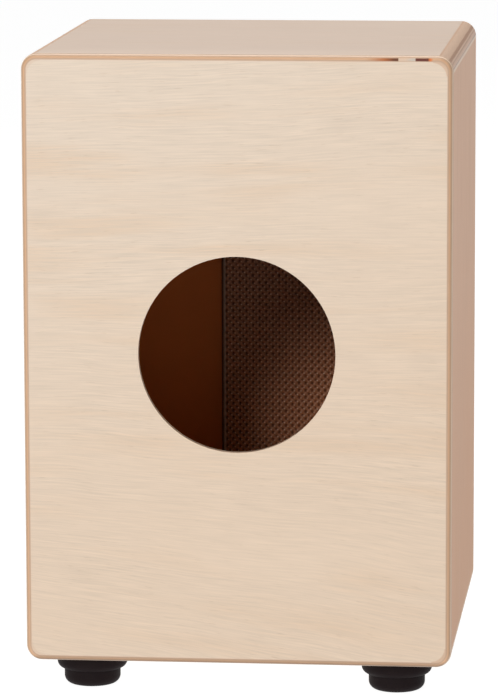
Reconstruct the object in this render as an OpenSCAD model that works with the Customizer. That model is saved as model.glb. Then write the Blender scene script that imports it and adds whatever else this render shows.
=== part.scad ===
// Cajon: a box drum of glued plywood boards. The player sits on the top and strikes the thin
// playing plate, which faces +Y. The sound hole is in the back panel, which faces -Y.
// +Z is up, +X is to the player's right, and the origin is on the floor under the box's middle.

/* [Box] */
// Outer width of the box, from side to side
box_w = 300; // [250:1:360]
// Outer depth of the box, from its back panel to its playing plate
box_d = 300; // [250:1:360]
// Outer height of the box, without its feet
box_h = 429; // [355:1:520]
// Thickness of the top, bottom and side boards
board_t = 12; // [9:0.5:16]
// Rounding of the four long edges that run from back to front
corner_r = 11; // [8:0.5:16]

/* [Back panel] */
// Thickness of the back panel
back_t = 5; // [4:0.5:9]
// Rounding round the rim of the back panel
back_rim_r = 4.4; // [1:0.1:4.8]
// Diameter of the sound hole
hole_d = 138; // [90:1:170]
// Height of the sound hole's middle above the middle of the box
hole_rise = 5.5; // [-20:0.5:20]

/* [Playing plate] */
// Thickness of the playing plate
plate_t = 3; // [2.5:0.1:5]
// Rounding round the plate's rim, which runs on into the boards behind it
plate_rim_r = 6.4; // [1:0.1:7]
// Screws down each side of the plate
side_screws = 5; // [3:1:7]
// Screws between the corners along the top and along the bottom of the plate
row_screws = 2; // [1:1:4]
// Shank diameter of the plate's countersunk screws
plate_screw_d = 3.5; // [3:0.1:4]
// Head diameter of the plate's countersunk screws
plate_head_d = 7; // [6:0.1:8]
// Depth of the cone under a countersunk head
plate_head_h = 2.2; // [1.6:0.1:2.4]

/* [Frame inside] */
// Side of the square battens that the plate is screwed to
batten_w = 18; // [15:0.5:24]
// Leg of the three-sided glue blocks in the long inner corners
corner_block_w = 16; // [10:0.5:20]
// Wood left beyond the point of each screw
screw_cover = 2; // [1:0.5:4]

/* [Damping pad] */
// Width of the embossed pad glued to the inside of the playing plate
pad_w = 108; // [60:1:150]
// Distance of the pad's middle to the right of the plate's middle
pad_offset = 12; // [-20:1:20]
// Thickness of the pad
pad_t = 8; // [4:0.5:12]
// Height of the pad's lower edge above the bottom board
pad_lift = 45; // [20:1:80]
// Gap between the pad and the snare wires above it
pad_gap = 9; // [4:0.5:20]

/* [Snares] */
// Distance from the top board down to the middle of the snare bar
snare_drop = 50; // [35:1:60]
// Height of the wooden bar that holds the snares
snare_bar_h = 18; // [15:0.5:24]
// Thickness of the two blocks that carry the bar
snare_block_t = 12; // [9:0.5:18]
// Width of each of the two blocks
snare_block_w = 42; // [38:1:50]
// Height of each of the two blocks
snare_block_h = 30; // [22:1:40]
// Distance from the middle of the box to the middle of each snare set
snare_offset = 45; // [38:0.5:60]
// Number of wires in each set
snare_wires = 10; // [6:1:12]
// Outer diameter of one coiled wire
wire_d = 2.2; // [1.6:0.1:2.6]
// Distance from one wire to the next
wire_pitch = 3.4; // [2.8:0.1:3.6]
// Length of the wires
wire_l = 108; // [70:1:130]
// Gap between the wires and the playing plate at rest
wire_gap = 0.3; // [0.1:0.1:1]
// Thickness of the steel strips that the wires are soldered to
strip_t = 1.2; // [0.8:0.1:1.6]
// Height of the steel strips
strip_h = 12; // [10:0.5:15]
// Length of strip beyond the outer wire, which takes a screw in the upper strip
strip_end = 10; // [9:0.5:12]

/* [Inner screws] */
// Shank diameter of the pan head screws inside
inner_screw_d = 3; // [2.5:0.1:3.5]
// Head diameter of the pan head screws inside
inner_head_d = 6; // [5:0.1:6.5]
// Head height of the pan head screws inside
inner_head_h = 2; // [1.4:0.1:2.2]

/* [Feet] */
// Height of a rubber foot
foot_h = 25; // [20:0.5:32]
// Diameter of the flange that bears on the bottom board
flange_d = 50; // [46:0.5:60]
// Rounding of the flange's lower edge
flange_round = 5; // [3:0.5:6]
// Diameter of the lower part of a foot
pad_foot_d = 40; // [34:0.5:44]
// Height of the lower part of a foot
pad_foot_h = 11.5; // [7:0.5:12]
// Rounding of the edge that a foot stands on
foot_round = 6; // [2:0.5:6]
// Distance from the side of the box to the middle of a foot
foot_inset_x = 41; // [32:1:60]
// Distance from the back or the front of the box to the middle of a foot
foot_inset_y = 45; // [32:1:60]
// Diameter of the recess for the washer and the screw head
recess_d = 18; // [16:0.5:20]
// Depth of the recess
recess_h = 12; // [9:0.5:14]
// Shank diameter of the foot screws
foot_screw_d = 4.5; // [4:0.1:5]
// Head diameter of the foot screws
foot_head_d = 9; // [8:0.1:10]
// Head height of the foot screws
foot_head_h = 3; // [2.4:0.1:3.4]
// Diameter of the washer under the head
washer_d = 15; // [12:0.5:15.5]
// Thickness of the washer
washer_t = 1.5; // [1:0.1:2]
// Difference between a screw's shank and the holes it passes through freely
hole_play = 0.5; // [0.2:0.1:1]

/* [Hidden] */
$fn = 64;

// A cut starts and ends this far outside the solid that it cuts.
cut = 1;

// The box, from its outer sizes
box_top = foot_h + box_h;
box_mid_z = foot_h + box_h / 2;
inner_w = box_w - 2 * board_t;
inner_bottom = foot_h + board_t;
inner_top = box_top - board_t;
panel_inner_y = back_t - box_d / 2;
plate_inner_y = box_d / 2 - plate_t;
batten_back_y = plate_inner_y - batten_w;
batten_inner_x = inner_w / 2 - batten_w;
hole_z = box_mid_z + hole_rise;

// The places of the plate's screws, as [x, z] on the middle of the battens
screw_x = inner_w / 2 - batten_w / 2;
screw_low = inner_bottom + batten_w / 2;
screw_high = inner_top - batten_w / 2;
plate_screw_l = plate_t + batten_w - screw_cover;
plate_screw_places = concat(
    [for (side = [-1, 1], i = [0 : side_screws - 1])
        [side * screw_x, screw_low + i * (screw_high - screw_low) / (side_screws - 1)]],
    [for (z = [screw_low, screw_high], i = [1 : row_screws])
        [screw_x * (2 * i / (row_screws + 1) - 1), z]]
);

// The snares, stacked from the playing plate back to the bar
wire_y = plate_inner_y - wire_gap - wire_d / 2;
strip_front_y = plate_inner_y - wire_gap - wire_d;
bar_front_y = strip_front_y - strip_t;
bar_t = bar_front_y - batten_back_y;
bar_z = inner_top - snare_drop;
wires_w = (snare_wires - 1) * wire_pitch + wire_d;
strip_w = wires_w + 2 * strip_end;
solder_l = strip_h - 2;
wires_top = bar_z + strip_h / 2 - 1;
wires_bottom = wires_top - wire_l;
block_back_y = batten_back_y - snare_block_t;

// The screws that hold each block, as distances in from the inside of the side board
block_screw_batten = batten_w / 2;
block_screw_bar = (batten_w + snare_block_w) / 2;
block_screw_l = snare_block_t + bar_t - screw_cover;
strip_screw_l = strip_t + bar_t - screw_cover;

// The damping pad fills the height between its lift and the wires.
pad_bottom = inner_bottom + pad_lift;
pad_h = wires_bottom - pad_gap - pad_bottom;

// The middles of the feet, and the screws that hold them
foot_x = box_w / 2 - foot_inset_x;
foot_y = box_d / 2 - foot_inset_y;
foot_screw_l = foot_h - recess_h + washer_t + board_t - screw_cover;

// Section through the rim of the whole box, from a long edge's centre line out to the side.
// u runs outwards, and v runs from the back face to the front face. It keeps only v0 to v1.
module rim_section(v0, v1) {
    intersection() {
        union() {
            translate([0, back_rim_r])
                square([corner_r, box_d - back_rim_r - plate_rim_r]);
            square([corner_r - back_rim_r, box_d / 2]);
            translate([0, box_d / 2])
                square([corner_r - plate_rim_r, box_d / 2]);
            translate([corner_r - back_rim_r, back_rim_r])
                circle(back_rim_r);
            translate([corner_r - plate_rim_r, box_d - plate_rim_r])
                circle(plate_rim_r);
        }
        translate([0, v0])
            square([corner_r, v1 - v0]);
    }
}

// The slice of the box's outer form from v0 to v1 behind the back face, solid right through
module box_slice(v0, v1) {
    straight = [box_w / 2 - corner_r, box_h / 2 - corner_r];
    translate([0, -box_d / 2, box_mid_z])
        rotate([-90, 0, 0]) {
            translate([-straight[0], -straight[1], v0])
                cube([2 * straight[0], 2 * straight[1], v1 - v0]);
            for (i = [0 : 3])
                rotate([0, 0, 90 * i])
                    translate([straight[i % 2], straight[(i + 1) % 2], 0]) {
                        rotate([90, 0, 0])
                            linear_extrude(2 * straight[(i + 1) % 2])
                                rim_section(v0, v1);
                        rotate_extrude(angle = 90)
                            rim_section(v0, v1);
                    }
        }
}

// A block given by its lowest and its highest corner
module block(low, high) {
    translate(low)
        cube(high - low);
}

// One of the four shell boards: the part of the shell's form inside the given x and z ranges
module shell_board(x_range, z_range) {
    intersection() {
        box_slice(back_t, box_d - plate_t);
        block([x_range[0], -box_d, z_range[0]], [x_range[1], box_d, z_range[1]]);
    }
}

// A pan head screw with a cross recess, its shank along -Z from the underside of the head
module pan_screw(head_d, head_h, shank_d, length) {
    slot_w = head_d / 6;
    slot_l = head_d * 0.6;
    point = shank_d;
    difference() {
        union() {
            cylinder(h = head_h * 0.6, d = head_d);
            translate([0, 0, head_h * 0.6])
                cylinder(h = head_h * 0.4, d1 = head_d, d2 = head_d * 0.7);
        }
        for (turn = [0, 90])
            rotate([0, 0, turn])
                translate([-slot_l / 2, -slot_w / 2, head_h * 0.5])
                    cube([slot_l, slot_w, head_h]);
    }
    translate([0, 0, point - length])
        cylinder(h = length - point, d = shank_d);
    translate([0, 0, -length])
        cylinder(h = point, d1 = shank_d / 8, d2 = shank_d);
}

// A countersunk screw with a cross recess, its head's face at z = 0 and its shank along -Z
module countersunk_screw() {
    slot_w = plate_head_d / 7;
    slot_l = plate_head_d * 0.55;
    point = plate_screw_d;
    difference() {
        translate([0, 0, -plate_head_h])
            cylinder(h = plate_head_h, d1 = plate_screw_d, d2 = plate_head_d);
        for (turn = [0, 90])
            rotate([0, 0, turn])
                translate([-slot_l / 2, -slot_w / 2, -plate_head_h * 0.55])
                    cube([slot_l, slot_w, plate_head_h]);
    }
    translate([0, 0, point - plate_screw_l])
        cylinder(h = plate_screw_l - point - plate_head_h, d = plate_screw_d);
    translate([0, 0, -plate_screw_l])
        cylinder(h = point, d1 = plate_screw_d / 8, d2 = plate_screw_d);
}

// What a row of plate screws takes out of the plate and the battens
module plate_screw_holes() {
    for (place = plate_screw_places)
        translate([place[0], box_d / 2, place[1]])
            rotate([-90, 0, 0]) {
                translate([0, 0, -plate_screw_l])
                    cylinder(h = plate_screw_l, d = plate_screw_d);
                translate([0, 0, -plate_head_h])
                    cylinder(h = plate_head_h, d1 = plate_screw_d, d2 = plate_head_d);
            }
}

// Puts its children at each foot, on the floor
module at_feet() {
    for (x = [-foot_x, foot_x], y = [-foot_y, foot_y])
        translate([x, y, 0])
            children();
}

module top_board() {
    color("wheat")
        shell_board([-box_w, box_w], [inner_top, box_top + cut]);
}

module bottom_board() {
    color("wheat")
        difference() {
            shell_board([-box_w, box_w], [foot_h - cut, inner_bottom]);
            at_feet()
                translate([0, 0, foot_h - cut])
                    cylinder(h = board_t - screw_cover + cut, d = foot_screw_d);
        }
}

module left_side() {
    color("burlywood")
        shell_board([-box_w, -inner_w / 2], [inner_bottom, inner_top]);
}

module right_side() {
    color("burlywood")
        shell_board([inner_w / 2, box_w], [inner_bottom, inner_top]);
}

module back_panel() {
    color("navajowhite")
        difference() {
            box_slice(0, back_t);
            translate([0, panel_inner_y + cut, hole_z])
                rotate([90, 0, 0])
                    cylinder(h = back_t + 2 * cut, d = hole_d, $fn = 180);
        }
}

module playing_plate() {
    color("saddlebrown")
        difference() {
            box_slice(box_d - plate_t, box_d);
            plate_screw_holes();
        }
}

// A side batten runs the full height inside, and the other two fit between them.
module side_batten(side) {
    near_x = side * inner_w / 2;
    far_x = side * batten_inner_x;
    difference() {
        block([min(near_x, far_x), batten_back_y, inner_bottom],
              [max(near_x, far_x), plate_inner_y, inner_top]);
        plate_screw_holes();
        block_screw_holes();
    }
}

module cross_batten(z0, z1) {
    difference() {
        block([-batten_inner_x, batten_back_y, z0], [batten_inner_x, plate_inner_y, z1]);
        plate_screw_holes();
    }
}

module front_batten_left() {
    color("tan")
        side_batten(-1);
}

module front_batten_right() {
    color("tan")
        side_batten(1);
}

module front_batten_top() {
    color("tan")
        cross_batten(inner_top - batten_w, inner_top);
}

module front_batten_bottom() {
    color("tan")
        cross_batten(inner_bottom, inner_bottom + batten_w);
}

// A three-sided block in a long inner corner, from the back panel to the battens
module corner_block(side, up) {
    corner_z = up > 0 ? inner_top : inner_bottom;
    translate([side * inner_w / 2, batten_back_y, corner_z])
        rotate([90, 0, 0])
            linear_extrude(batten_back_y - panel_inner_y)
                polygon([[0, 0], [-side * corner_block_w, 0], [0, -up * corner_block_w]]);
}

module corner_block_top_left() {
    color("tan")
        corner_block(-1, 1);
}

module corner_block_top_right() {
    color("tan")
        corner_block(1, 1);
}

module corner_block_bottom_left() {
    color("tan")
        corner_block(-1, -1);
}

module corner_block_bottom_right() {
    color("tan")
        corner_block(1, -1);
}

module damping_pad() {
    color("sienna")
        block([pad_offset - pad_w / 2, plate_inner_y - pad_t, pad_bottom],
              [pad_offset + pad_w / 2, plate_inner_y, pad_bottom + pad_h]);
}

module snare_bar() {
    color("peru")
        difference() {
            block([-batten_inner_x, batten_back_y, bar_z - snare_bar_h / 2],
                  [batten_inner_x, bar_front_y, bar_z + snare_bar_h / 2]);
            block_screw_holes();
            at_strip_screws()
                translate([0, 0, -strip_screw_l])
                    cylinder(h = strip_screw_l, d = inner_screw_d);
        }
}

// Puts its children at the two screws of each block, on its back face with +Z pointing back
module at_block_screws() {
    for (side = [-1, 1], inset = [block_screw_batten, block_screw_bar])
        translate([side * (inner_w / 2 - inset), block_back_y, bar_z])
            rotate([90, 0, 0])
                children();
}

module block_screw_holes() {
    at_block_screws()
        translate([0, 0, -block_screw_l])
            cylinder(h = block_screw_l, d = inner_screw_d);
}

module snare_block(side) {
    near_x = side * inner_w / 2;
    far_x = side * (inner_w / 2 - snare_block_w);
    difference() {
        block([min(near_x, far_x), block_back_y, bar_z - snare_block_h / 2],
              [max(near_x, far_x), batten_back_y, bar_z + snare_block_h / 2]);
        block_screw_holes();
    }
}

module snare_block_left() {
    color("peru")
        snare_block(-1);
}

module snare_block_right() {
    color("peru")
        snare_block(1);
}

module snare_block_screws() {
    color("silver")
        at_block_screws()
            pan_screw(inner_head_d, inner_head_h, inner_screw_d, block_screw_l);
}

// Puts its children at the two screws of each upper strip, on its face with +Z pointing forward
module at_strip_screws() {
    for (side = [-1, 1], end = [-1, 1])
        translate([side * snare_offset + end * (strip_w - strip_end) / 2, strip_front_y, bar_z])
            rotate([-90, 0, 0])
                children();
}

// A steel strip across one set of wires, with its middle at height z
module snare_strip(side, z) {
    block([side * snare_offset - strip_w / 2, bar_front_y, z - strip_h / 2],
          [side * snare_offset + strip_w / 2, strip_front_y, z + strip_h / 2]);
}

module upper_strip(side) {
    difference() {
        snare_strip(side, bar_z);
        at_strip_screws()
            translate([0, 0, -strip_t - cut])
                cylinder(h = strip_t + 2 * cut, d = inner_screw_d + hole_play);
    }
}

module lower_strip(side) {
    snare_strip(side, wires_bottom + solder_l / 2 + 1);
}

module snare_wire_set(side) {
    for (i = [0 : snare_wires - 1])
        translate([side * snare_offset + (i - (snare_wires - 1) / 2) * wire_pitch,
                   wire_y, wires_bottom])
            cylinder(h = wire_l, d = wire_d);
}

module snare_strip_upper_left() {
    color("silver")
        upper_strip(-1);
}

module snare_strip_upper_right() {
    color("silver")
        upper_strip(1);
}

module snare_wires_left() {
    color("gainsboro")
        snare_wire_set(-1);
}

module snare_wires_right() {
    color("gainsboro")
        snare_wire_set(1);
}

module snare_strip_lower_left() {
    color("silver")
        lower_strip(-1);
}

module snare_strip_lower_right() {
    color("silver")
        lower_strip(1);
}

module snare_screws() {
    color("silver")
        at_strip_screws()
            pan_screw(inner_head_d, inner_head_h, inner_screw_d, strip_screw_l);
}

module plate_screws() {
    color("dimgray")
        for (place = plate_screw_places)
            translate([place[0], box_d / 2, place[1]])
                rotate([-90, 0, 0])
                    countersunk_screw();
}

// Section of a foot, from its middle out: a stepped rubber body with a recess from below
module foot_section() {
    flange_r = flange_d / 2;
    lower_r = pad_foot_d / 2;
    difference() {
        union() {
            square([lower_r - foot_round, foot_h]);
            translate([0, foot_round])
                square([lower_r, foot_h - foot_round]);
            translate([lower_r - foot_round, foot_round])
                circle(foot_round);
            translate([0, pad_foot_h])
                square([flange_r - flange_round, foot_h - pad_foot_h]);
            translate([0, pad_foot_h + flange_round])
                square([flange_r, foot_h - pad_foot_h - flange_round]);
            translate([flange_r - flange_round, pad_foot_h + flange_round])
                circle(flange_round);
        }
        translate([-cut, -cut])
            square([recess_d / 2 + cut, recess_h + cut]);
        translate([-cut, 0])
            square([(foot_screw_d + hole_play) / 2 + cut, foot_h + cut]);
    }
}

module foot(x, y) {
    translate([x, y, 0])
        rotate_extrude()
            foot_section();
}

module foot_front_left() {
    color("dimgray")
        foot(-foot_x, foot_y);
}

module foot_front_right() {
    color("dimgray")
        foot(foot_x, foot_y);
}

module foot_back_left() {
    color("dimgray")
        foot(-foot_x, -foot_y);
}

module foot_back_right() {
    color("dimgray")
        foot(foot_x, -foot_y);
}

module foot_washers() {
    color("silver")
        at_feet()
            translate([0, 0, recess_h - washer_t])
                difference() {
                    cylinder(h = washer_t, d = washer_d);
                    translate([0, 0, -cut])
                        cylinder(h = washer_t + 2 * cut, d = foot_screw_d + hole_play);
                }
}

module foot_screws() {
    color("silver")
        at_feet()
            translate([0, 0, recess_h - washer_t])
                rotate([180, 0, 0])
                    pan_screw(foot_head_d, foot_head_h, foot_screw_d, foot_screw_l);
}

top_board();
bottom_board();
left_side();
right_side();
back_panel();
playing_plate();
front_batten_left();
front_batten_right();
front_batten_top();
front_batten_bottom();
corner_block_top_left();
corner_block_top_right();
corner_block_bottom_left();
corner_block_bottom_right();
damping_pad();
snare_bar();
snare_block_left();
snare_block_right();
snare_strip_upper_left();
snare_strip_upper_right();
snare_wires_left();
snare_wires_right();
snare_strip_lower_left();
snare_strip_lower_right();
snare_screws();
snare_block_screws();
plate_screws();
foot_front_left();
foot_front_right();
foot_back_left();
foot_back_right();
foot_washers();
foot_screws();
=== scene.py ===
import math

import bpy
from mathutils import Matrix, Vector


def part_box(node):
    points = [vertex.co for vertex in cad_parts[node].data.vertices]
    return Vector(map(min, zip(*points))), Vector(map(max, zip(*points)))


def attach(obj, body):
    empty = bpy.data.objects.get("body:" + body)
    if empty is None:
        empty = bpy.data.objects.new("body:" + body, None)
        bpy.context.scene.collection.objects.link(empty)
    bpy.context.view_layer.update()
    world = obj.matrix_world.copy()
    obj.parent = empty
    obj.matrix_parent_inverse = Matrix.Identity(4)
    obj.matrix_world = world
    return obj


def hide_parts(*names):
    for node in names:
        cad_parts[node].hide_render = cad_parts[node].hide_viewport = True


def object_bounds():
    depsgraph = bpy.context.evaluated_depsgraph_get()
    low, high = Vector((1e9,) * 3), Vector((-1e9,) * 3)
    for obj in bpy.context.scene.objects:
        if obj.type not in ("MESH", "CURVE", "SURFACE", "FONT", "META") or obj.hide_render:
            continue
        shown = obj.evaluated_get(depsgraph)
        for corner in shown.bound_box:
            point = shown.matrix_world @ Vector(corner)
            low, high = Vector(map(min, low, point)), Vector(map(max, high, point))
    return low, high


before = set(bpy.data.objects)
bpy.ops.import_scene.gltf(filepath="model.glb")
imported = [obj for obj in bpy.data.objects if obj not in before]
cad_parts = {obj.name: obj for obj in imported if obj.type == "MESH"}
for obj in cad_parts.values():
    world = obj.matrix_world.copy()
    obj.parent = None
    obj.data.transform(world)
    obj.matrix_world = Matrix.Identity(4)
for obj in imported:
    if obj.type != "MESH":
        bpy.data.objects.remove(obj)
cad_low, cad_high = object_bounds()
bpy.ops.object.select_all(action="DESELECT")


# ----------------------------------------------------------------------------------------------
# Top board (the seat) and bottom board. Birch plywood, its plies laid flat, with a thin pale
# outer veneer whose grain runs across the box. The long outer edges are rounded over, so the
# plies show there as stripes. Both boards are glued over the ends of the side boards.
# ----------------------------------------------------------------------------------------------
MM = 1000.0


class Value:
    """One number of a material, worked on like a plain number: each step adds a Math node."""

    def __init__(self, paint, socket):
        self.paint = paint
        self.socket = socket

    def step(self, operation, first, second):
        return self.paint.node("Math", {"operation": operation}, {0: first, 1: second})

    def __add__(self, other):
        return self.step("ADD", self, other)

    __radd__ = __add__

    def __sub__(self, other):
        return self.step("SUBTRACT", self, other)

    def __rsub__(self, other):
        return self.step("SUBTRACT", other, self)

    def __mul__(self, other):
        return self.step("MULTIPLY", self, other)

    __rmul__ = __mul__

    def __abs__(self):
        return self.step("ABSOLUTE", self, 0.0)


class Paint:
    """One finish being mixed. Its patterns lie on the object's own coordinates, in millimetres."""

    def __init__(self, name):
        self.material = bpy.data.materials.new(name)
        self.material.use_nodes = True
        self.tree = self.material.node_tree
        self.tree.nodes.clear()
        metres = self.node("TexCoord", {}, {}, "Object")
        scaled = self.node("VectorMath", {"operation": "SCALE"}, {0: metres, "Scale": MM})
        self.x, self.y, self.z = [
            self.node("SeparateXYZ", {}, {0: scaled}, axis) for axis in range(3)
        ]

    def node(self, kind, settings, inputs, output=0):
        """Adds any node: its type, its settings, its sockets' values or links, its output."""
        made = self.tree.nodes.new("ShaderNode" + kind)
        for key, value in settings.items():
            if key == "stops":
                bar = made.color_ramp.elements
                bar.remove(bar[1])
                bar[0].position, bar[0].color = value[0][0], (*value[0][1], 1.0)
                for place, colour in value[1:]:
                    bar.new(place).color = (*colour, 1.0)
            else:
                setattr(made, key, value)
        for key, value in inputs.items():
            if isinstance(value, Value):
                self.tree.links.new(value.socket, made.inputs[key])
            else:
                made.inputs[key].default_value = value
        return Value(self, made.outputs[output]) if made.outputs else None

    def noise(self, x, y, z, detail=2.0, distortion=0.0):
        place = self.node("CombineXYZ", {}, {0: x, 1: y, 2: z})
        inputs = {"Vector": place, "Scale": 1.0, "Detail": detail, "Distortion": distortion}
        return self.node("TexNoise", {}, inputs)

    def rise(self, value, low, high):
        """Nought up to the first place, one from the second on, and a soft slope between."""
        settings = {"interpolation_type": "SMOOTHSTEP"}
        return self.node("MapRange", settings, {"Value": value, "From Min": low, "From Max": high})

    def mix(self, factor, colour_a, colour_b):
        ends = [c if isinstance(c, Value) else (*c, 1.0) for c in (colour_a, colour_b)]
        inputs = {0: factor, 6: ends[0], 7: ends[1]}
        return self.node("Mix", {"data_type": "RGBA"}, inputs, 2)

    def shade(self, colour, factor):
        return self.node("VectorMath", {"operation": "SCALE"}, {0: colour, "Scale": factor})

    def ramp(self, value, stops):
        return self.node("ValToRGB", {"stops": stops}, {0: value})

    def finish(self, colour, roughness, height, relief, settings=None):
        """The shader: what varies, its relief in metres, and what is the same all over."""
        bump = self.node("Bump", {}, {"Height": height, "Distance": relief, "Strength": 1.0})
        inputs = {"Base Color": colour, "Roughness": roughness, "Normal": bump}
        shader = self.node("BsdfPrincipled", {}, {**inputs, **(settings or {})})
        self.node("OutputMaterial", {}, {"Surface": shader})
        return self.material


def coat(material, *names):
    """Gives CAD nodes a finish."""
    for name in names:
        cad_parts[name].material_slots[0].material = material


# Each pattern's length along the grain and width across it, in millimetres.
STREAK = (30.0, 1.1)
BAND = (240.0, 15.0)
PATCH = (120.0, 45.0)
FLECK = (11.0, 0.9)
VENEER_BUMP = 0.00003


def veneer(paint, along, across, sunny, brown, strength=1.0):
    """Pale sanded veneer: fine streaks along the grain, and soft brown growth bands among them.

    Returns its colour, and its height for the bump.
    """

    def grain(size, place, detail):
        return paint.noise(along * (1 / size[0]), across * (1 / size[1]), place, detail=detail)

    fine = grain(STREAK, 3.1, 3.0)
    band = grain(BAND, 11.7, 4.0)
    patch = grain(PATCH, 5.3, 1.0)
    fleck = grain(FLECK, 23.9, 1.0)
    lively = patch * 1.6 + 0.2
    flecks = paint.rise(fleck, 0.64, 0.78) * lively * strength
    growth = paint.rise(band, 0.44, 0.68) * paint.rise(patch, 0.32, 0.60)
    colour = paint.mix(growth * fine * 1.15 + flecks * 0.30, sunny, brown)
    tone = (fine - 0.5) * lively * (0.30 * strength) + (band - 0.5) * (0.08 * strength) + 1.0
    return paint.shade(colour, tone - flecks * 0.06), fine - fleck * 0.4


BOARD_THICK = 12.0


def plies(paint, depth, along, face, stripes):
    """The board's colour by its depth under the outer face: the face veneer, then each ply."""
    torn = (paint.noise(along * (1 / 22), depth * 2.2, along * (1 / 400)) - 0.5) * 0.5
    layers = paint.ramp((depth + torn * paint.rise(depth, 0.3, 1.2)) * (1 / BOARD_THICK), stripes)
    fibre = paint.noise(along * (1 / 18), depth * 3.0, 7.0, detail=3.0)
    layers = paint.shade(layers, (fibre - 0.5) * 0.24 + 1.0)
    return paint.mix(paint.rise(depth, 0.04, 0.10), face, layers)


PLY_STRIPES = (
    (0.000, (0.73, 0.50, 0.36)),
    (0.014, (0.69, 0.44, 0.29)),
    (0.030, (0.76, 0.53, 0.385)),
    (0.245, (0.74, 0.51, 0.365)),
    (0.275, (0.53, 0.320, 0.215)),
    (0.390, (0.53, 0.320, 0.215)),
    (0.425, (0.77, 0.54, 0.405)),
    (0.475, (0.77, 0.54, 0.405)),
    (0.505, (0.60, 0.38, 0.265)),
    (0.545, (0.60, 0.38, 0.265)),
    (0.575, (0.72, 0.48, 0.345)),
    (0.740, (0.70, 0.46, 0.33)),
    (0.765, (0.44, 0.27, 0.18)),
    (0.795, (0.44, 0.27, 0.18)),
    (0.830, (0.68, 0.46, 0.33)),
    (1.000, (0.78, 0.58, 0.40)),
)
SEAT_PALE = (0.775, 0.622, 0.512)
SEAT_BROWN = (0.745, 0.580, 0.455)
# The strip along the back edge, a little paler than the rest.
PALER_STRIP = (-95.0, -146.0)


def flat_board(name, outer_z, way):
    """A board's finish: the height of its outer face, and which way its depth runs from there."""
    paint = Paint(name)
    face, height = veneer(paint, paint.x, paint.y, SEAT_PALE, SEAT_BROWN, 0.7)
    face = paint.shade(face, paint.rise(paint.y, *PALER_STRIP) * 0.07 + 1.0)
    depth = (paint.z - outer_z) * way
    colour = plies(paint, depth, paint.y, face, PLY_STRIPES)
    roughness = height * 0.06 + 0.40
    return paint.finish(colour, roughness, height, VENEER_BUMP, {"Specular IOR Level": 0.4})


box_top = cad_high.z * MM
box_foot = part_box("bottom_board")[0].z * MM
coat(flat_board("seat_veneer", box_top, -1.0), "top_board")
coat(flat_board("base_veneer", box_foot, 1.0), "bottom_board")


# ----------------------------------------------------------------------------------------------
# Side boards. The same plywood stood on end, its veneer a little redder, with the grain running
# up the box. They are glued between the top and bottom boards.
# ----------------------------------------------------------------------------------------------
# The veneer goes darker and redder toward the bottom of the box: painted shade, between the heights
# below.
SIDE_HIGH = (0.760, 0.510, 0.375)
SIDE_LOW = (0.715, 0.440, 0.295)
SIDE_BROWN = (0.700, 0.455, 0.325)
SIDE_SHADE_FADE = (60.0, 420.0)

half_wide = cad_high.x * MM


def side_board(name, way):
    """A side board's finish: the left one (-1) or the right one (1)."""
    paint = Paint(name)
    # Painted shade: darker and redder toward the bottom.
    pale = paint.mix(paint.rise(paint.z, *SIDE_SHADE_FADE), SIDE_LOW, SIDE_HIGH)
    face, height = veneer(paint, paint.z, paint.y, pale, SIDE_BROWN, 0.6)
    depth = paint.x * (-way) + half_wide
    colour = plies(paint, depth, paint.z, face, PLY_STRIPES)
    roughness = height * 0.06 + 0.62
    return paint.finish(colour, roughness, height, VENEER_BUMP, {"Specular IOR Level": 0.06})


coat(side_board("left_side_veneer", -1.0), "left_side")
coat(side_board("right_side_veneer", 1.0), "right_side")


# ----------------------------------------------------------------------------------------------
# Corner blocks and front battens. Raw softwood, sawn and left unfinished, glued into the box's
# long inner corners and round its front rim, where the playing plate's screws hold in it.
# ----------------------------------------------------------------------------------------------
PINE_EARLY = (0.56, 0.36, 0.18)
PINE_LATE = (0.37, 0.20, 0.085)
RING_LONG, RING_WIDE = 140.0, 3.6
HAIR_LONG = 14.0
MARK_WIDE = 12.0


def softwood(name, along, across_a, across_b):
    """Sawn pine: growth rings drawn out along the piece, and the saw's fine cross marks."""
    paint = Paint(name)
    axes = {"x": paint.x, "y": paint.y, "z": paint.z}
    run, a, b = axes[along], axes[across_a], axes[across_b]
    ring = paint.noise(
        run * (1 / RING_LONG), a * (1 / RING_WIDE), b * (1 / RING_WIDE), detail=2.0, distortion=0.6
    )
    hair = paint.noise(run * (1 / HAIR_LONG), a * 1.8, b * 1.8, detail=2.0)
    mark = paint.noise(run * 1.3, a * (1 / MARK_WIDE), b * (1 / MARK_WIDE))
    late = paint.rise(ring, 0.50, 0.66)
    colour = paint.mix(late, PINE_EARLY, PINE_LATE)
    colour = paint.shade(colour, (hair - 0.5) * 0.35 + (mark - 0.5) * 0.12 + 1.0)
    return paint.finish(colour, hair * 0.2 + 0.62, hair + mark * 0.6, 0.00015)


PINE_UP = softwood("pine_up", "z", "x", "y")
PINE_ACROSS = softwood("pine_across", "x", "y", "z")
PINE_DEEP = softwood("pine_deep", "y", "x", "z")
coat(PINE_UP, "front_batten_left", "front_batten_right")
coat(PINE_ACROSS, "front_batten_top", "front_batten_bottom")
coat(PINE_DEEP, "corner_block_top_left", "corner_block_top_right")
coat(PINE_DEEP, "corner_block_bottom_left", "corner_block_bottom_right")
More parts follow.
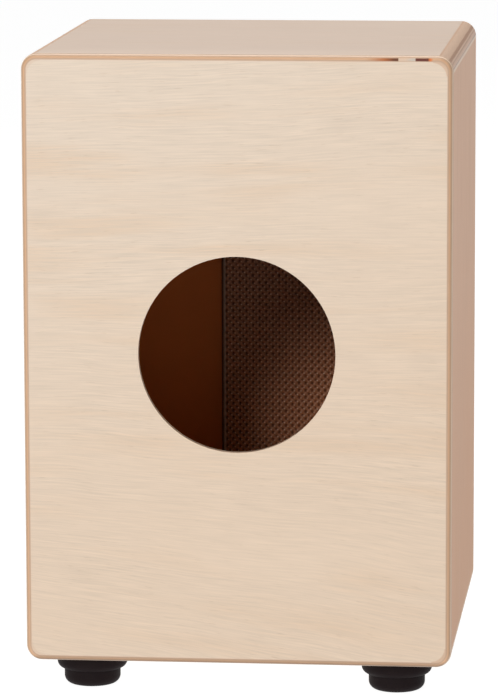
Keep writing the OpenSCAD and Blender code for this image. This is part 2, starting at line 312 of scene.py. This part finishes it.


# ----------------------------------------------------------------------------------------------
# Back panel. Thin pale plywood with the sound hole cut through it, glued to the box's back rim
# and rounded over with it, so its plies run round the panel as thin stripes. Near the upper
# right corner a painted reflection lies on the rim, dark and pale, drawn as a crack, torn wood and a
# slot.
# ----------------------------------------------------------------------------------------------
PANEL_TOP = (0.758, 0.630, 0.508)
PANEL_FOOT = (0.754, 0.597, 0.457)
PANEL_BROWN = (0.705, 0.528, 0.378)
FIGURE_Z = 240.0
PANEL_THICK = 5.0
PANEL_STRIPES = (
    (0.00, (0.66, 0.45, 0.31)),
    (0.02, (0.57, 0.38, 0.26)),
    (0.05, (0.57, 0.38, 0.26)),
    (0.07, (0.69, 0.43, 0.265)),
    (0.12, (0.69, 0.43, 0.265)),
    (0.15, (0.64, 0.39, 0.23)),
    (0.23, (0.62, 0.38, 0.23)),
    (0.27, (0.53, 0.34, 0.22)),
    (0.38, (0.55, 0.36, 0.24)),
    (0.45, (0.84, 0.64, 0.48)),
    (0.66, (0.82, 0.62, 0.46)),
    (0.71, (0.48, 0.31, 0.19)),
    (0.80, (0.48, 0.31, 0.19)),
    (0.85, (0.72, 0.50, 0.36)),
    (1.00, (0.72, 0.50, 0.36)),
)
# Where the painted reflection on the upper rim begins, changes colour and ends: drawn as a crack, torn
# wood, a slot.
REFLECTION_CRACK_OPENS, REFLECTION_CRACK_DARKENS, REFLECTION_CRACK_ENDS = (88.0, 105.0), (101.0, 110.5), (111.8, 112.6)
REFLECTION_PALE_GREYS = (116.0, 123.0)
REFLECTION_SLOT_OPENS, REFLECTION_SLOT_WARMS, REFLECTION_SLOT_ENDS = (123.6, 124.4), (132.3, 134.0), (134.2, 136.5)
REFLECTION_CRACK_WARM, REFLECTION_CRACK_DARK = (0.46, 0.135, 0.035), (0.13, 0.036, 0.010)
REFLECTION_PALE_WARM, REFLECTION_PALE_GREY = (0.74, 0.56, 0.42), (0.60, 0.55, 0.48)
REFLECTION_SLOT_DARK, REFLECTION_SLOT_ORANGE = (0.12, 0.020, 0.013), (0.74, 0.20, 0.05)
# The round that sanding left at each corner: its middle's distance from both edges, its radius.
SANDED_IN = 14.4
SANDED_RADIUS = (9.3, 10.4)

panel_middle = (box_top + box_foot) / 2
half_high = (box_top - box_foot) / 2


def back_veneer():
    paint = Paint("panel_veneer_back")
    # The growth figure: bands that part to the right of the middle, and wander a little.
    right = (paint.x + half_wide) * (1 / (2 * half_wide))
    low = paint.rise(FIGURE_Z - paint.z, -40.0, 60.0)
    wander = (paint.noise(paint.x * (1 / 150), 8.0, paint.z * (1 / 90), detail=2.0) - 0.5) * 11.0
    across = (paint.z - FIGURE_Z) * (1.0 - right * (low * 0.15 + 0.06)) + wander
    pale = paint.mix(paint.rise(paint.z - paint.x * 0.5, 100.0, 520.0), PANEL_FOOT, PANEL_TOP)
    face, height = veneer(paint, paint.x, across, pale, PANEL_BROWN)
    # The plies, by their depth under the outer face.
    depth = paint.y - cad_low.y * MM
    run = paint.x + paint.z
    torn = (paint.noise(run * (1 / 16), depth * 2.5, 4.0) - 0.5) * 0.35
    layers = paint.ramp((depth + torn * paint.rise(depth, 0.2, 0.6)) * (1 / PANEL_THICK), PANEL_STRIPES)
    fibre = paint.noise(paint.x * (1 / 14), paint.z * (1 / 14), depth * 4.0, detail=3.0)
    layers = paint.shade(layers, (fibre - 0.5) * 0.24 + 1.0)
    # The painted reflection lies in the outer plies of the upper rim only.
    reflection_band = paint.rise(depth, 0.06, 0.16) * (1.0 - paint.rise(depth, 0.9, 1.2))
    reflection_band = reflection_band * paint.rise(paint.z, box_top - 7.5, box_top - 5.0)
    reflection_marks = (
        (REFLECTION_CRACK_ENDS, REFLECTION_SLOT_OPENS, REFLECTION_PALE_GREYS, REFLECTION_PALE_WARM, REFLECTION_PALE_GREY, 0.85),
        (REFLECTION_CRACK_OPENS, REFLECTION_CRACK_ENDS, REFLECTION_CRACK_DARKENS, REFLECTION_CRACK_WARM, REFLECTION_CRACK_DARK, 0.95),
        (REFLECTION_SLOT_OPENS, REFLECTION_SLOT_ENDS, REFLECTION_SLOT_WARMS, REFLECTION_SLOT_DARK, REFLECTION_SLOT_ORANGE, 0.95),
    )
    for opens, ends, turns, first, last, cover in reflection_marks:
        here = paint.rise(paint.x, *opens) * (1.0 - paint.rise(paint.x, *ends))
        shown = paint.mix(paint.rise(paint.x, *turns), first, last)
        layers = paint.mix(here * reflection_band * cover, layers, shown)
    # Painted shade darkens the lower rim, the right rim is a little darker, and sanding has cut through
    # at the corners.
    shaded_low_rim = paint.rise(paint.z, box_foot + 5.0, box_foot + 1.0)
    right_rim = paint.rise(paint.x, half_wide - 4.5, half_wide - 2.0)
    layers = paint.shade(layers, 1.0 - (shaded_low_rim * 0.45 + right_rim * 0.10))
    bare = paint.rise(depth, 0.015, 0.05)
    side = abs(paint.x) - (half_wide - SANDED_IN)
    end = abs(paint.z - panel_middle) - (half_high - SANDED_IN)
    radius = paint.node("Math", {"operation": "SQRT"}, {0: side * side + end * end})
    corner = paint.rise(side, 0.0, 1.0) * paint.rise(end, 0.0, 1.0)
    corner = corner * paint.rise(radius, *SANDED_RADIUS) * (right * 0.6 + 0.3)
    worn = paint.node("Math", {"operation": "MAXIMUM"}, {0: bare, 1: corner})
    colour = paint.mix(worn, face, layers)
    roughness = height * 0.06 + 0.46
    return paint.finish(colour, roughness, height, VENEER_BUMP, {"Specular IOR Level": 0.35})


coat(back_veneer(), "back_panel")


# ----------------------------------------------------------------------------------------------
# Playing plate. Thin plywood stained dark brown on both faces, held to the front rim by
# countersunk screws. Its rim is rounded over together with the boards behind it.
# ----------------------------------------------------------------------------------------------
STAIN_WARM, STAIN_DARK = (0.20, 0.088, 0.036), (0.085, 0.033, 0.014)
INNER_WARM, INNER_DEEP = (0.63, 0.155, 0.020), (0.59, 0.145, 0.019)
# Painted light on the inner face: brighter from the first height down to the second.
INNER_LIGHT_FADE = (260.0, 130.0)
PLATE_THICK = 3.0
PLATE_STRIPES = (
    (0.00, (0.22, 0.10, 0.05)),
    (0.30, (0.30, 0.15, 0.08)),
    (0.36, (0.50, 0.32, 0.19)),
    (0.62, (0.48, 0.30, 0.18)),
    (0.68, (0.28, 0.15, 0.08)),
    (1.00, (0.26, 0.13, 0.07)),
)


def plate_stain():
    paint = Paint("plate_stain")
    depth = cad_high.y * MM - paint.y
    # The outer face: dark ribbons of grain that wander up the plate, with fine open pores.
    sweep = paint.noise(paint.x * (1 / 60), 0.0, paint.z * (1 / 420), detail=1.0)
    ring = paint.noise(paint.x * (1 / 9) + sweep * 6.0, 2.0, paint.z * (1 / 260), detail=3.0)
    hair = paint.noise(paint.x * 1.6, 5.0, paint.z * (1 / 26), detail=3.0)
    pore = paint.noise(paint.x * 2.6, 9.0, paint.z * (1 / 8))
    outer = paint.mix(paint.rise(ring, 0.36, 0.64), STAIN_WARM, STAIN_DARK)
    outer = paint.shade(outer, (hair - 0.5) * 0.7 + 1.0 - paint.rise(pore, 0.62, 0.74) * 0.35)
    # The inner face: a smooth even stain, with painted light brighter toward the bottom.
    mist = paint.noise(paint.x * (1 / 40), 4.0, paint.z * (1 / 90))
    inner = paint.mix(mist, INNER_WARM, INNER_DEEP)
    inner = paint.shade(inner, (hair - 0.5) * 0.06 + 0.93 + paint.rise(paint.z, *INNER_LIGHT_FADE) * 0.2)
    layer = paint.ramp(depth * (1 / PLATE_THICK), PLATE_STRIPES)
    colour = paint.mix(paint.rise(depth, 0.04, 0.10), outer, layer)
    height = hair - pore * 0.8
    inside = paint.rise(depth, PLATE_THICK - 0.10, PLATE_THICK - 0.04)
    colour = paint.mix(inside, colour, inner)
    roughness = hair * 0.16 + 0.30 + inside * 0.4
    return paint.finish(colour, roughness, height * (1.0 - inside * 0.9), 0.00006)


coat(plate_stain(), "playing_plate")


# ----------------------------------------------------------------------------------------------
# Damping pad. Dark brown rubber foam with an embossed diamond grid of small dimples, long ones
# and round ones in turn, cut to a rectangle and glued to the back of the playing plate.
# ----------------------------------------------------------------------------------------------
PITCH_X, PITCH_Z = 0.00503, 0.00548
CELLS_X, CELLS_Z = 20, 35
STEPS = 11
# Each dimple's half width, half height and depth, and where its nub is and how big.
LONG_DIMPLE = (0.00100, 0.00125, 0.0015)
ROUND_DIMPLE = (0.00090, 0.00090, 0.0013)
NUB_AWAY, NUB_DOWN, NUB_REACH, NUB_HEIGHT = 0.00120, 0.00045, 0.00060, 0.00085
PAD_ROUND = 0.0028
ROUND_STEPS = 4
FACE_IN = 0.0006
NEAR = 0.0001
FOAM_DARK, FOAM_WARM = (0.40, 0.155, 0.068), (0.47, 0.190, 0.088)
# The painted highlight's colour on the nubs.
FOAM_PAINTED_HIGHLIGHT = (0.78, 0.54, 0.40)
# Painted light: the pad is brighter from the first height down to the second.
FOAM_LIGHT_FADE = (265.0, 135.0)
RUBBER_BUMP = 0.00008

pad_low, pad_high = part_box("damping_pad")
pad_face = pad_low.y + FACE_IN


def dimple_depth(x, z):
    """How deep the embossing is at a place in one cell: a long dimple at each corner, a round
    one in the middle, and a small nub beside each."""
    depth = 0.0
    corners = [(i, k) for i in (-1, 0, 1) for k in (-1, 0, 1, 2)]
    middles = [(i + 0.5, k + 0.5) for i in (-1, 0) for k in (-1, 0, 1)]
    spots = [(i * PITCH_X, k * PITCH_Z, LONG_DIMPLE) for i, k in corners]
    spots += [(i * PITCH_X, k * PITCH_Z, ROUND_DIMPLE) for i, k in middles]
    for spot_x, spot_z, (wide, tall, deep) in spots:
        depth += deep * math.exp(-(((x - spot_x) / wide) ** 2 + ((z - spot_z) / tall) ** 2))
        nub_x, nub_z = x - spot_x - NUB_AWAY, z - spot_z + NUB_DOWN
        depth -= NUB_HEIGHT * math.exp(-(nub_x**2 + nub_z**2) / NUB_REACH**2)
    return depth


# One cell of the grid, then rows of it.
bpy.ops.mesh.primitive_grid_add(
    x_subdivisions=STEPS, y_subdivisions=STEPS, size=1.0, location=(0.0, 0.0, 0.0)
)
pad = bpy.context.object
pad.name = "damping_pad_foam"
corner_x = (pad_low.x + pad_high.x - CELLS_X * PITCH_X) / 2
corner_z = (pad_low.z + pad_high.z - CELLS_Z * PITCH_Z) / 2
for point in pad.data.vertices:
    x, z = (point.co.x + 0.5) * PITCH_X, (point.co.y + 0.5) * PITCH_Z
    point.co = (corner_x + x, pad_face + dimple_depth(x, z), corner_z + z)
for count, step in ((CELLS_X, (PITCH_X, 0.0, 0.0)), (CELLS_Z, (0.0, 0.0, PITCH_Z))):
    rows = pad.modifiers.new("rows", "ARRAY")
    rows.count = count
    rows.use_relative_offset = False
    rows.use_constant_offset = True
    rows.constant_offset_displace = step
    rows.use_merge_vertices = True
    rows.merge_threshold = NEAR / 2
    bpy.ops.object.modifier_apply(modifier=rows.name)

# The rim: the grid's edge is drawn out to the pad's edge, round it, and back to the plate.
bpy.ops.object.mode_set(mode="EDIT")
bpy.ops.mesh.select_mode(type="VERT")
bpy.ops.mesh.select_all(action="SELECT")
bpy.ops.mesh.normals_make_consistent(inside=False)
bpy.ops.mesh.select_all(action="DESELECT")
bpy.ops.mesh.select_non_manifold()
bpy.ops.mesh.extrude_region_move()
bpy.ops.object.mode_set(mode="OBJECT")
half_x, half_z = (pad_high.x - pad_low.x) / 2, (pad_high.z - pad_low.z) / 2
middle_x, middle_z = pad_low.x + half_x, pad_low.z + half_z
cut_x, cut_z = CELLS_X * PITCH_X / 2, CELLS_Z * PITCH_Z / 2
rim = [(PAD_ROUND, 0.0)]
for step in range(1, ROUND_STEPS + 1):
    angle = math.pi / 2 * step / ROUND_STEPS
    rim.append((PAD_ROUND * (1 - math.sin(angle)), PAD_ROUND * (1 - math.cos(angle))))
rim.append((0.0, pad_high.y - pad_low.y))
for inset, sink in rim:
    for point in pad.data.vertices:
        if point.select:
            reach_x, reach_z = point.co.x - middle_x, point.co.z - middle_z
            if abs(reach_x) > cut_x - NEAR:
                point.co.x = middle_x + math.copysign(half_x - inset, reach_x)
            if abs(reach_z) > cut_z - NEAR:
                point.co.z = middle_z + math.copysign(half_z - inset, reach_z)
            point.co.y = pad_low.y + sink
    cut_x, cut_z = half_x - inset, half_z - inset
    bpy.ops.object.mode_set(mode="EDIT")
    if sink < pad_high.y - pad_low.y:
        bpy.ops.mesh.extrude_region_move()
        bpy.ops.object.mode_set(mode="OBJECT")
bpy.ops.mesh.edge_face_add()
bpy.ops.mesh.select_all(action="SELECT")
bpy.ops.mesh.normals_make_consistent(inside=False)
bpy.ops.object.mode_set(mode="OBJECT")
bpy.ops.object.shade_smooth_by_angle(angle=math.radians(50))

paint = Paint("brown_foam")
grit = paint.noise(paint.x * 2.2, paint.y * 2.2, paint.z * 2.2, detail=3.0)
worn = paint.noise(paint.x * (1 / 28), paint.y * (1 / 28), paint.z * (1 / 28))
face_y, left_x = pad_face * MM, pad_low.x * MM
# Painted shade: the dimples are darker.
dimple_shade = paint.rise(paint.y, face_y + 0.1, face_y + 1.1)
# Painted highlight: the nubs' tips are lighter.
nub_highlight = paint.rise(paint.y, face_y - 0.05, face_y - 0.45)
# Painted light: brighter toward the bottom of the pad.
lower_light = paint.rise(paint.z, *FOAM_LIGHT_FADE)
# Painted shade darkens the pad's left edge, which is also made rougher.
edge = paint.rise(paint.x, left_x + 5.0, left_x + 1.0)
foam = paint.mix(worn, FOAM_DARK, FOAM_WARM)
foam = paint.mix(nub_highlight, foam, FOAM_PAINTED_HIGHLIGHT)
foam = paint.shade(foam, lower_light * 0.35 + 0.82)
foam = paint.shade(foam, ((grit - 0.5) * 0.30 + 1.0) * (1.0 - dimple_shade * 0.60) * (1.0 - edge * 0.60))
roughness = grit * 0.2 + 0.32 + edge * 0.5
FOAM = paint.finish(foam, roughness, grit, RUBBER_BUMP, {"Specular IOR Level": 0.45})
pad.data.materials.append(FOAM)
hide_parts("damping_pad")
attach(pad, "root")


# ----------------------------------------------------------------------------------------------
# Snare bar and its two blocks. A planed softwood bar across the box behind the plate's upper
# part, screwed to a small block on each side batten. It carries the two sets of snare wires.
# ----------------------------------------------------------------------------------------------
coat(PINE_ACROSS, "snare_bar")
coat(PINE_UP, "snare_block_left", "snare_block_right")


# ----------------------------------------------------------------------------------------------
# Snare strips and the screws inside the box. Bright zinc-plated steel: the strips hold the ends
# of the wires, and pan head screws hold the strips, the bar and the blocks. The feet's screws
# and washers are plated alike.
# ----------------------------------------------------------------------------------------------
ZINC_COOL, ZINC_WARM = (0.60, 0.60, 0.61), (0.70, 0.69, 0.66)


def zinc():
    paint = Paint("bright_zinc")
    cloud = paint.noise(paint.x * (1 / 3), paint.y * (1 / 3), paint.z * (1 / 3), detail=3.0)
    brush = paint.noise(paint.x * (1 / 9), paint.y * 3.0, paint.z * 5.0)
    colour = paint.mix(cloud, ZINC_COOL, ZINC_WARM)
    roughness = brush * 0.18 + cloud * 0.10 + 0.18
    return paint.finish(colour, roughness, brush, 0.00002, {"Metallic": 1.0})


ZINC = zinc()
for half in ("left", "right"):
    coat(ZINC, "snare_strip_upper_" + half, "snare_strip_lower_" + half)
coat(ZINC, "snare_screws", "snare_block_screws", "foot_screws", "foot_washers")


# ----------------------------------------------------------------------------------------------
# Snare wires. Two sets of ten thin steel wires, each wound in an open coil like a spring. Their
# ends sit in the steel strips, and they buzz against the back of the playing plate.
# ----------------------------------------------------------------------------------------------
WIRE = 0.0002
COIL = 0.0011
TURNS = 88
WIRES = 10
WIRE_SIDES = 4
TURN_STEPS = 8
STEEL_DARK, STEEL_LIGHT = (0.58, 0.58, 0.59), (0.70, 0.70, 0.70)

paint = Paint("snare_steel_wire")
tint = paint.noise(paint.x * 0.4, paint.y * 0.4, paint.z * (1 / 6), detail=2.0)
steel = paint.mix(tint, STEEL_DARK, STEEL_LIGHT)
WIRE_STEEL = paint.finish(steel, tint * 0.15 + 0.18, tint, 0.00001, {"Metallic": 1.0})

for half in ("left", "right"):
    low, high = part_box("snare_wires_" + half)
    first_x = low.x + COIL
    spacing = (high.x - low.x - 2 * COIL) / (WIRES - 1)
    centre_y = (low.y + high.y) / 2
    bpy.ops.object.select_all(action="DESELECT")
    bpy.ops.mesh.primitive_circle_add(
        vertices=WIRE_SIDES,
        radius=WIRE,
        location=(0.0, 0.0, 0.0),
        rotation=(math.pi / 2, 0.0, 0.0),
    )
    wires = bpy.context.object
    wires.name = "snare_coils_" + half
    bpy.ops.object.transform_apply(location=True, rotation=True, scale=True)
    for point in wires.data.vertices:
        point.co.x += COIL - WIRE
    turn = wires.modifiers.new("turn", "SCREW")
    turn.axis = "Z"
    turn.steps = turn.render_steps = TURN_STEPS
    turn.iterations = TURNS
    turn.screw_offset = (high.z - low.z - 2 * WIRE) / TURNS
    turn.use_merge_vertices = True
    turn.merge_threshold = WIRE / 20
    bpy.ops.object.modifier_apply(modifier=turn.name)
    bpy.ops.object.mode_set(mode="EDIT")
    bpy.ops.mesh.select_all(action="DESELECT")
    bpy.ops.mesh.select_mode(type="VERT")
    bpy.ops.mesh.select_non_manifold()
    bpy.ops.mesh.edge_face_add()
    bpy.ops.mesh.select_all(action="SELECT")
    bpy.ops.mesh.normals_make_consistent(inside=False)
    bpy.ops.object.mode_set(mode="OBJECT")
    row = wires.modifiers.new("row", "ARRAY")
    row.count = WIRES
    row.use_relative_offset = False
    row.use_constant_offset = True
    row.constant_offset_displace = (spacing, 0.0, 0.0)
    bpy.ops.object.modifier_apply(modifier=row.name)
    wires.data.transform(Matrix.Translation((first_x, centre_y, low.z + WIRE)))
    bpy.ops.object.shade_smooth()
    wires.data.materials.append(WIRE_STEEL)
    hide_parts("snare_wires_" + half)
    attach(wires, "root")


# ----------------------------------------------------------------------------------------------
# Plate screws. Countersunk cross-head screws in black oxide, flush with the playing plate.
# ----------------------------------------------------------------------------------------------
OXIDE_DARK, OXIDE_RUBBED = (0.020, 0.020, 0.022), (0.050, 0.047, 0.045)

paint = Paint("black_oxide")
haze = paint.noise(paint.x * 0.8, paint.y * 0.8, paint.z * 0.8, detail=3.0)
oxide = paint.mix(haze, OXIDE_DARK, OXIDE_RUBBED)
coat(paint.finish(oxide, haze * 0.25 + 0.28, haze, 0.00003, {"Metallic": 0.7}), "plate_screws")


# ----------------------------------------------------------------------------------------------
# Feet. Stepped rubber feet, moulded in one piece with a wide flange, each held by a screw and a
# washer sunk in a hole from below.
# ----------------------------------------------------------------------------------------------
RUBBER_DARK, RUBBER_WORN = (0.008, 0.004, 0.005), (0.012, 0.007, 0.007)

paint = Paint("moulded_rubber")
skin = paint.noise(paint.x * 1.4, paint.y * 1.4, paint.z * 1.4, detail=4.0)
bloom = paint.noise(paint.x * (1 / 9), paint.y * (1 / 9), paint.z * (1 / 9), detail=2.0)
rubber = paint.mix(bloom, RUBBER_DARK, RUBBER_WORN)
rubber = paint.shade(rubber, (skin - 0.5) * 0.5 + 1.0)
RUBBER = paint.finish(rubber, skin * 0.2 + 0.50, skin, RUBBER_BUMP, {"Specular IOR Level": 0.10})
for place in ("front_left", "front_right", "back_left", "back_right"):
    coat(RUBBER, "foot_" + place)


# ----------------------------------------------------------------------------------------------
# The studio: a wide white floor, a soft key light in front, to the left and above, a large one
# overhead, a weak fill low in front, another behind, and the camera a little to the right of
# the sound hole and above it.
# ----------------------------------------------------------------------------------------------
FLOOR_RADIUS = 40.0

paint = Paint("studio_floor")
dust = paint.noise(paint.x * (1 / 300), paint.y * (1 / 300), 0.0)
shader = paint.node(
    "BsdfPrincipled",
    {},
    {
        "Base Color": paint.shade(paint.mix(dust, (0.98, 0.98, 0.98), (1.0, 1.0, 1.0)), 0.20),
        "Roughness": 0.9,
        "Specular IOR Level": 0.0,
        "Emission Color": (1.0, 1.0, 1.0, 1.0),
        "Emission Strength": 0.95,
    },
)
paint.node("OutputMaterial", {}, {"Surface": shader})
bpy.ops.mesh.primitive_circle_add(
    vertices=96, radius=FLOOR_RADIUS, fill_type="NGON", location=(0.0, 0.0, 0.0)
)
floor = bpy.context.object
floor.name = "studio_floor"
floor.data.materials.append(paint.material)

world = bpy.data.worlds.new("studio_air")
bpy.context.scene.world = world
world.use_nodes = True
air = world.node_tree
air.nodes.clear()
seen = air.nodes.new("ShaderNodeLightPath")
glow = air.nodes.new("ShaderNodeBackground")
glow.inputs["Color"].default_value = (0.96, 0.98, 1.0, 1.0)
glow.inputs["Strength"].default_value = 0.18
white = air.nodes.new("ShaderNodeBackground")
white.inputs["Color"].default_value = (1.0, 1.0, 1.0, 1.0)
either = air.nodes.new("ShaderNodeMixShader")
out = air.nodes.new("ShaderNodeOutputWorld")
air.links.new(seen.outputs["Is Camera Ray"], either.inputs[0])
air.links.new(glow.outputs[0], either.inputs[1])
air.links.new(white.outputs[0], either.inputs[2])
air.links.new(either.outputs[0], out.inputs["Surface"])


def softbox(name, place, target, size, power, colour):
    """A square soft light that faces a point."""
    bpy.ops.object.light_add(type="AREA", location=place)
    light = bpy.context.object
    light.name = name
    light.data.size = size
    light.data.energy = power
    light.data.color = colour
    light.rotation_euler = (Vector(target) - Vector(place)).to_track_quat("-Z", "Y").to_euler()


MIDDLE = (0.0, 0.0, 0.24)
LAMP_WHITE = (1.0, 0.99, 0.98)
LAMP_WARM = (1.0, 0.98, 0.95)
softbox("key", (-0.84, -3.10, 1.26), MIDDLE, 0.7, 36.5, LAMP_WHITE)
softbox("overhead", (0.0, 0.2, 2.4), MIDDLE, 1.6, 35.5, LAMP_WHITE)
softbox("fill", (0.85, -3.30, 0.25), MIDDLE, 1.2, 6.8, LAMP_WARM)
softbox("behind", (-2.0, 2.2, 1.0), MIDDLE, 1.6, 12.0, LAMP_WHITE)

CAMERA_PLACE = (0.3282, -3.250, 0.7351)
CAMERA_TURN, CAMERA_TILT, CAMERA_ROLL = 0.1027, -0.1546, -0.0029
bpy.ops.object.camera_add(location=CAMERA_PLACE)
camera = bpy.context.object
camera.name = "camera"
camera.rotation_euler = (
    Matrix.Rotation(CAMERA_TURN, 4, "Z")
    @ Matrix.Rotation(math.pi / 2 + CAMERA_TILT, 4, "X")
    @ Matrix.Rotation(CAMERA_ROLL, 4, "Z")
).to_euler()
camera.data.sensor_width = 36.0
camera.data.lens = 234.1
camera.data.clip_end = 200.0
bpy.context.scene.camera = camera
bpy.context.scene.view_settings.view_transform = "Standard"
bpy.context.scene.view_settings.look = "None"
